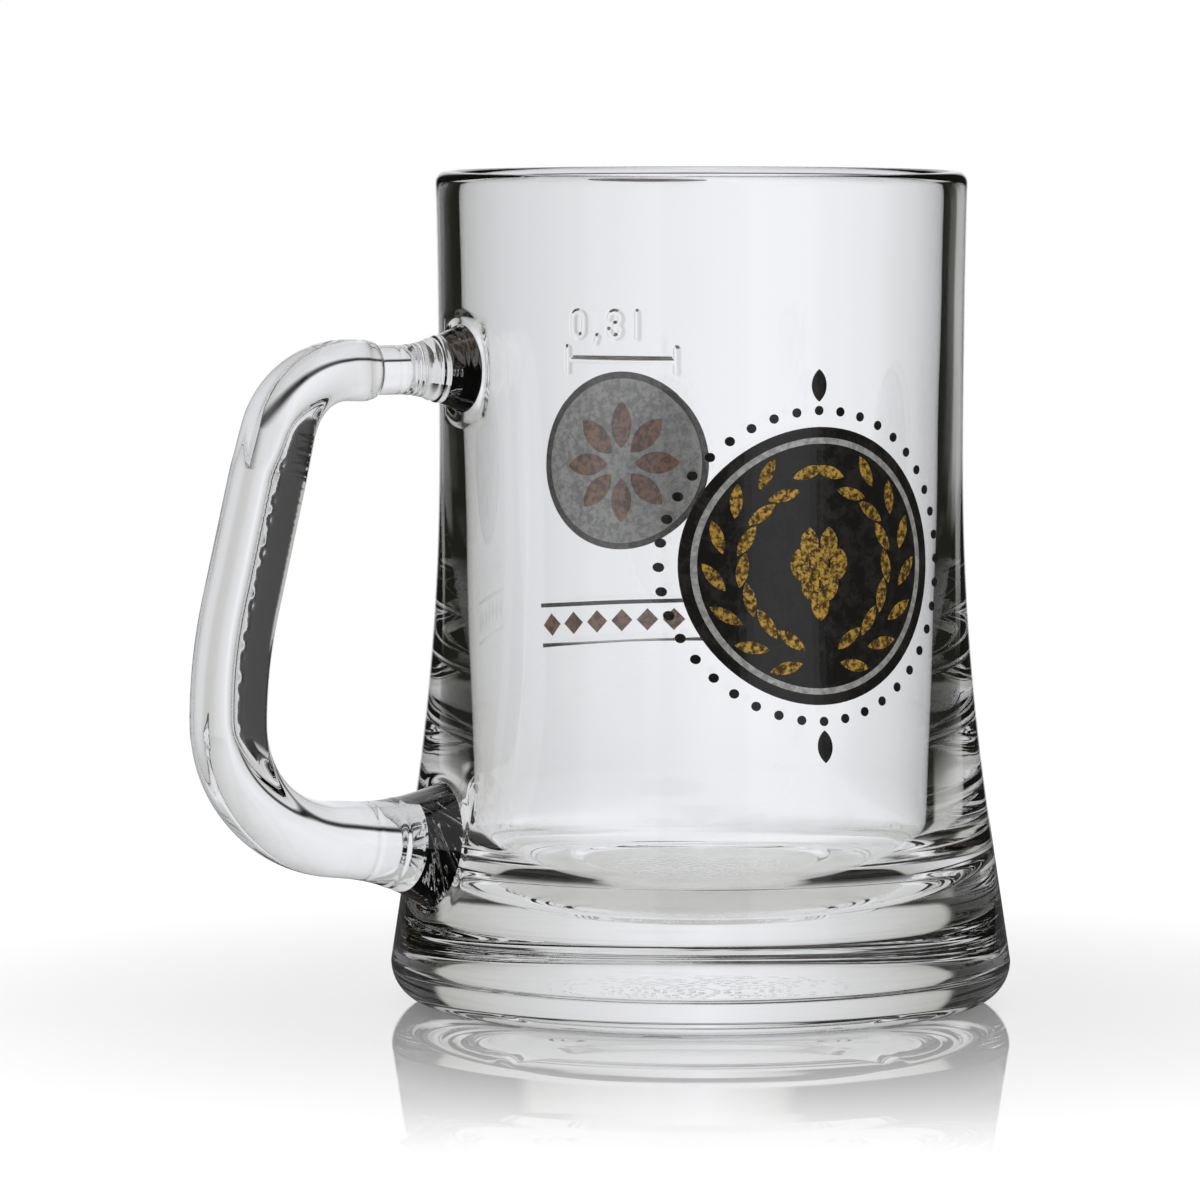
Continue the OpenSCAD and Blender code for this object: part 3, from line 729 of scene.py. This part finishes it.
ear = barley_ear()
cone = [set_at(leaf(SCALE_L, SCALE_W), (i - (count - 1) / 2) * (SCALE_W + SCALE_GAP),
               FRONT_Z + CONE_TOP - SCALE_RISE * row, 180)
        for row, count in enumerate(CONE_ROWS) for i in range(count)]
bead = circle(BEAD_D, BEAD_STEPS) + [BEAD_RING_D / 2, 0]
beads = [set_at(bead, 0, FRONT_Z, 360 / BEAD_COUNT * i) for i in range(BEAD_COUNT)]
tip = leaf(TIP_LEAF_L, TIP_LEAF_W) + [0, (BEAD_RING_D + BEAD_D) / 2 + TIP_GAP]
tips = [set_at(tip, 0, FRONT_Z, side) for side in (0, 180)]
front_shapes = [("black", set_at(circle(GROUND_D), 0, FRONT_Z)),
                ("silver", set_at(circle(RING_D + RING_W), 0, FRONT_Z)),
                ("black", set_at(circle(RING_D - RING_W), 0, FRONT_Z))]
front_shapes += [("gold", outline) for outline in ear + [grain[::-1] * [-1, 1] for grain in ear] + cone]
front_shapes += [("black", outline) for outline in beads + tips]
silver_enamel = fired_material("silver_enamel", colour=(0.55, 0.55, 0.535), worn=(0.34, 0.34, 0.33),
                               scale=900, share=0.42, roughness=0.3, metallic=0.35)
put_print(lay_print(front_shapes, 0), "front", {
    "black": fired_material("black_enamel", colour=(0.01, 0.0095, 0.009), worn=(0.022, 0.02, 0.018),
                            scale=350, share=0.4, roughness=0.12, metallic=0.0),
    "gold": fired_material("gold_enamel", colour=(0.66, 0.4, 0.06), worn=(0.075, 0.038, 0.008),
                           scale=1300, share=0.43, roughness=0.32, metallic=0.3),
    "silver": silver_enamel})

# Back decoration
# A round silver badge with a dark outline and copper petals, and a row of copper lozenges between two
# dark rules below it. It is printed and fired as the front is, and shows through the glass.

BACK_TURN = np.radians(174)
BADGE_Z = 0.079
BADGE_D = 0.0272
OUTLINE_W = 0.0011
PETAL_COUNT = 8
PETAL_L = 0.0076
PETAL_W = 0.0036
PETAL_START = 0.0024
BAND_Z = 0.052
BAND_L = 0.033
BAND_GAP = 0.0062
RULE_T = 0.0007
LOZENGE_COUNT = 7
LOZENGE_D = 0.0039
LOZENGE_PITCH = BAND_L / LOZENGE_COUNT

petal = leaf(PETAL_L, PETAL_W) + [0, PETAL_START]
petals = [set_at(petal, 0, BADGE_Z, 360 / PETAL_COUNT * i) for i in range(PETAL_COUNT)]
rule = np.array([[-1, -1], [1, -1], [1, 1], [-1, 1]]) * [BAND_L / 2, RULE_T / 2]
rules = [rule + [0, BAND_Z + side * (BAND_GAP + RULE_T) / 2] for side in (-1, 1)]
lozenges = [circle(LOZENGE_D, 4) + [(i - (LOZENGE_COUNT - 1) / 2) * LOZENGE_PITCH, BAND_Z]
            for i in range(LOZENGE_COUNT)]
back_shapes = [("dark", set_at(circle(BADGE_D + 2 * OUTLINE_W), 0, BADGE_Z)),
               ("silver", set_at(circle(BADGE_D), 0, BADGE_Z))]
back_shapes += [("copper", outline) for outline in petals + lozenges]
back_shapes += [("dark", outline) for outline in rules]
put_print(lay_print(back_shapes, BACK_TURN), "back", {
    "silver": silver_enamel,
    "dark": fired_material("dark_enamel", colour=(0.035, 0.029, 0.026), worn=(0.07, 0.055, 0.048),
                           scale=500, share=0.4, roughness=0.25, metallic=0.0),
    "copper": fired_material("copper_enamel", colour=(0.36, 0.17, 0.095), worn=(0.13, 0.062, 0.04),
                             scale=900, share=0.42, roughness=0.3, metallic=0.35)})

# Floor and light
# The mug stands on a round of white gloss board, which mirrors it. The world is painted as a lit white
# backdrop with a dark card on each side, and two soft lights behind the camera for the sheen in front.

VIEW_TURN = np.radians(25)
forward = Vector((np.sin(VIEW_TURN), np.cos(VIEW_TURN), 0))
right = Vector((np.cos(VIEW_TURN), -np.sin(VIEW_TURN), 0))
BOARD_R = 0.3
BOARD_STEPS = 128
BOARD_DROP = 0.0002
BOARD_ROUGHNESS = 0.6
BOARD_WHITE = (0.9, 0.9, 0.9, 1)
BOARD_IN_GLOSS = (0.1, 0.1, 0.1, 1)
BOARD_GLOW = (0.42, 0.42, 0.42, 1)
# How much the board mirrors near the mug, and from where to where this fades
MIRROR_SHARE = 0.72
MIRROR_NEAR = 0.045
MIRROR_FAR = 0.185
# What shows through the base: under the mug the board has painted shade, a grey base colour, and a painted
# glow for the light that comes through the glass, and beyond it gives way to the painted world
UNDER_NEAR = 0.036
UNDER_FAR = 0.041
UNDER_PAINTED_SHADE = (0.33, 0.33, 0.325, 1)
UNDER_PAINTED_LIGHT = (0.45, 0.45, 0.44, 1)
BLACK = (0, 0, 0, 1)
WHITE = (1, 1, 1, 1)

board_edge = np.column_stack([circle(2 * BOARD_R, BOARD_STEPS), np.zeros(BOARD_STEPS)])
floor = put_mesh("floor", board_edge, [list(range(BOARD_STEPS))], smooth=False)
floor.location.z = -BOARD_DROP
material = bpy.data.materials.new("gloss_board")
material.use_nodes = True
nodes, links = material.node_tree.nodes, material.node_tree.links


def product(first, second):
    """The product of two sockets."""
    node = nodes.new("ShaderNodeMath")
    node.operation = "MULTIPLY"
    links.new(first, node.inputs[0])
    links.new(second, node.inputs[1])
    return node.outputs[0]


def eased(value, start, end, first=0.0, last=1.0):
    """A value that goes from the first to the last as another goes from start to end, with soft
    corners."""
    node = nodes.new("ShaderNodeMapRange")
    node.interpolation_type = "SMOOTHSTEP"
    for name, number in zip(("From Min", "From Max", "To Min", "To Max"), (start, end, first, last)):
        node.inputs[name].default_value = number
    links.new(value, node.inputs["Value"])
    return node.outputs["Result"]


def blended(factor, first, second):
    """A mix of two colours, each a socket or plain values."""
    mix = nodes.new("ShaderNodeMix")
    mix.data_type = "RGBA"
    links.new(factor, mix.inputs["Factor"])
    for value, name in ((first, "A"), (second, "B")):
        if isinstance(value, tuple):
            mix.inputs[name].default_value = value
        else:
            links.new(value, mix.inputs[name])
    return mix.outputs["Result"]


def layered(factor, first, second):
    """A mix of two shaders."""
    mix = nodes.new("ShaderNodeMixShader")
    links.new(factor, mix.inputs["Fac"])
    links.new(first, mix.inputs[1])
    links.new(second, mix.inputs[2])
    return mix.outputs[0]


shader = nodes["Principled BSDF"]
shader.inputs["Roughness"].default_value = BOARD_ROUGHNESS
shader.inputs["Specular IOR Level"].default_value = 0.0
place = nodes.new("ShaderNodeTexCoord")
reach = nodes.new("ShaderNodeVectorMath")
reach.operation = "LENGTH"
links.new(place.outputs["Object"], reach.inputs[0])
path = nodes.new("ShaderNodeLightPath")
seen = blended(path.outputs["Is Glossy Ray"], BOARD_WHITE, BOARD_IN_GLOSS)
# Rays through the glass see the board under the mug with painted shade and a painted glow
links.new(blended(path.outputs["Is Transmission Ray"], seen, UNDER_PAINTED_SHADE), shader.inputs["Base Color"])
glow = blended(path.outputs["Is Transmission Ray"], BLACK, UNDER_PAINTED_LIGHT)
glow = blended(path.outputs["Is Camera Ray"], glow, BOARD_GLOW)
links.new(glow, shader.inputs["Emission Color"])
shader.inputs["Emission Strength"].default_value = 1
mirror = nodes.new("ShaderNodeBsdfGlossy")
mirror.inputs["Roughness"].default_value = 0.0
mirror_share = eased(reach.outputs["Value"], MIRROR_NEAR, MIRROR_FAR, MIRROR_SHARE, 0.0)
board = layered(product(mirror_share, path.outputs["Is Camera Ray"]), shader.outputs[0], mirror.outputs[0])
beyond = product(eased(reach.outputs["Value"], UNDER_NEAR, UNDER_FAR), path.outputs["Is Transmission Ray"])
board = layered(beyond, board, nodes.new("ShaderNodeBsdfTransparent").outputs[0])
links.new(board, nodes["Material Output"].inputs["Surface"])
floor.data.materials.append(material)

# What the glass shows round the mug. Angles are in degrees, to the right of the backdrop's middle or
# above the horizon. Straight through solid glass the lit backdrop reaches to a dark card on each side.
# Light that bounces inside the glass finds the cards nearer, and the more so the lower it comes from:
# each row is a height, a left and a right edge. Between the top heights the straight view takes over.
LEFT_EDGE = -40
RIGHT_EDGE = 47
DEEP_EDGE = 47
BOUNCED_EDGES = (-17, -9, 8), (-10, -11, 17), (-2, -9, 24)
BOUNCED_TOP = 0.5, 2
MIDDLE_LEVEL = 0.9
EDGE_LEVEL = 0.46
CARD_LEVEL = 0.01
CARD_BLUR = 2.5
CARD_END = 104
ROOM_BLUR = 10
ROOM_SIDE = 0.5
ROOM_BACK = 0.8
# The share of blue in bands above each level: light ones are cool and dark ones a little warm
BLUE_SHARES = (0.6, 1.05), (0.1, 0.95), (0, 0.8)
# The grey above, the dark gap between the backdrop and the table, and the lit table below it
TOP_LEVEL = (0.68, 0.68, 0.69, 1)
TOP_HEIGHTS = 22, 45
GAP_LEVEL = (0.015, 0.015, 0.013, 1)
GAP_HEIGHTS = -17, -14
DEEP_LEVEL = 0.8
DEEP_HEIGHTS = -22, -18
PLAIN_LEVEL = (0.75, 0.75, 0.75, 1)
# Counts of bounces, set between whole numbers: reflected once inside, and through both walls
BOUNCED_ONCE = 0.5
BOTH_WALLS = 3.5
# What the two thin walls of the bowl let through, and what the glass and the prints reflect
PALE_BANDS = ((-180, 0.88), (-90, 0.74), (-28, 0.6), (-10, 0.72), (-1, 0.84), (1, 0.95), (7, 0.93),
              (9, 0.84), (28, 0.66), (90, 0.74), (180, 0.88))
GLOSS_BANDS = ((-180, 0.06), (-164, 0.06), (-160, 0.7), (-132, 0.7), (-126, 0.06), (-15, 0.02), (-9, 0.95),
               (9, 0.95), (15, 0.02), (126, 0.06), (132, 0.7), (160, 0.7), (164, 0.06), (180, 0.06))

world = bpy.data.worlds.new("studio")
bpy.context.scene.world = world
world.use_nodes = True
nodes, links = world.node_tree.nodes, world.node_tree.links
background = nodes["Background"]
place = nodes.new("ShaderNodeTexCoord")


def along(axis):
    """The share of a ray's direction along an axis."""
    node = nodes.new("ShaderNodeVectorMath")
    node.operation = "DOT_PRODUCT"
    node.inputs[1].default_value = axis
    links.new(place.outputs["Generated"], node.inputs[0])
    return node.outputs["Value"]


angle = nodes.new("ShaderNodeMath")
angle.operation = "ARCTAN2"
links.new(along(right), angle.inputs[0])
links.new(along(forward), angle.inputs[1])
share = nodes.new("ShaderNodeMapRange")
share.inputs["From Min"].default_value = -np.pi
share.inputs["From Max"].default_value = np.pi
links.new(angle.outputs[0], share.inputs["Value"])
up = along(Vector((0, 0, 1)))


def banded(stops):
    """The colour of one layer of bands, each with its angle and its level."""
    bands = nodes.new("ShaderNodeValToRGB")
    elements = bands.color_ramp.elements
    while len(elements) < len(stops):
        elements.new(0.5)
    for element, (degrees, level) in zip(elements, stops):
        element.position = (degrees + 180) / 360
        blue = next(part for least, part in BLUE_SHARES if level > least)
        element.color = (level, level, level * blue, 1)
    links.new(share.outputs["Result"], bands.inputs[0])
    return bands.outputs[0]


def by_height(low, high, start, end):
    """One colour that gives way to another between two angles above the horizon, in degrees."""
    return blended(eased(up, np.sin(np.radians(start)), np.sin(np.radians(end))), low, high)


def between_cards(left, right_edge, middle=MIDDLE_LEVEL):
    """The lit backdrop between a dark card at each edge, and the room behind them."""
    return banded(((-180, ROOM_BACK), (-CARD_END - ROOM_BLUR, ROOM_SIDE), (-CARD_END, CARD_LEVEL),
                   (left - CARD_BLUR, CARD_LEVEL), (left, EDGE_LEVEL), (0, middle),
                   (right_edge, EDGE_LEVEL), (right_edge + CARD_BLUR, CARD_LEVEL),
                   (CARD_END, CARD_LEVEL), (CARD_END + ROOM_BLUR, ROOM_SIDE), (180, ROOM_BACK)))


def more_than(value, number):
    """One where a socket is above a number, and nought elsewhere."""
    node = nodes.new("ShaderNodeMath")
    node.operation = "GREATER_THAN"
    node.inputs[1].default_value = number
    links.new(value, node.inputs[0])
    return node.outputs[0]


path = nodes.new("ShaderNodeLightPath")
straight = between_cards(LEFT_EDGE, RIGHT_EDGE)
heights, left_edges, right_edges = zip(*BOUNCED_EDGES)
bounced = between_cards(left_edges[0], right_edges[0])
for i in range(1, len(BOUNCED_EDGES)):
    higher = between_cards(left_edges[i], right_edges[i])
    bounced = by_height(bounced, higher, heights[i - 1], heights[i])
bounced = by_height(bounced, straight, *BOUNCED_TOP)
solid = blended(more_than(path.outputs["Glossy Depth"], BOUNCED_ONCE), straight, bounced)
solid = by_height(GAP_LEVEL, solid, *GAP_HEIGHTS)
solid = by_height(between_cards(-DEEP_EDGE, DEEP_EDGE, DEEP_LEVEL), solid, *DEEP_HEIGHTS)
solid = by_height(solid, TOP_LEVEL, *TOP_HEIGHTS)
through = blended(more_than(path.outputs["Transmission Depth"], BOTH_WALLS), solid, banded(PALE_BANDS))
lit = blended(path.outputs["Is Glossy Ray"], PLAIN_LEVEL, banded(GLOSS_BANDS))
lit = blended(path.outputs["Is Transmission Ray"], lit, through)
lit = blended(path.outputs["Is Singular Ray"], lit, WHITE)
links.new(blended(path.outputs["Is Camera Ray"], lit, WHITE), background.inputs["Color"])

# Camera
# It stands about a metre off, a little above the rim and turned from the front toward the handle.
# Light may pass many surfaces, since a view through both walls crosses at least four.

DISTANCE = 1.1126
CAMERA_Z = 0.14684
AIM_SIDE = -0.01531
AIM_Z = 0.06097
LENS = 220.6
DEEP_BOUNCES = 24
GLOSS_BOUNCES = 12

camera = bpy.data.objects.new("camera", bpy.data.cameras.new("camera"))
camera.data.lens = LENS
camera.location = right * AIM_SIDE - forward * DISTANCE + Vector((0, 0, CAMERA_Z))
aim = right * AIM_SIDE + Vector((0, 0, AIM_Z))
camera.rotation_euler = (aim - camera.location).to_track_quat("-Z", "Y").to_euler()
bpy.context.scene.collection.objects.link(camera)
scene = bpy.context.scene
scene.camera = camera
scene.view_settings.view_transform = "Standard"
scene.cycles.max_bounces = DEEP_BOUNCES
scene.cycles.transmission_bounces = DEEP_BOUNCES
scene.cycles.glossy_bounces = GLOSS_BOUNCES
scene.cycles.transparent_max_bounces = DEEP_BOUNCES
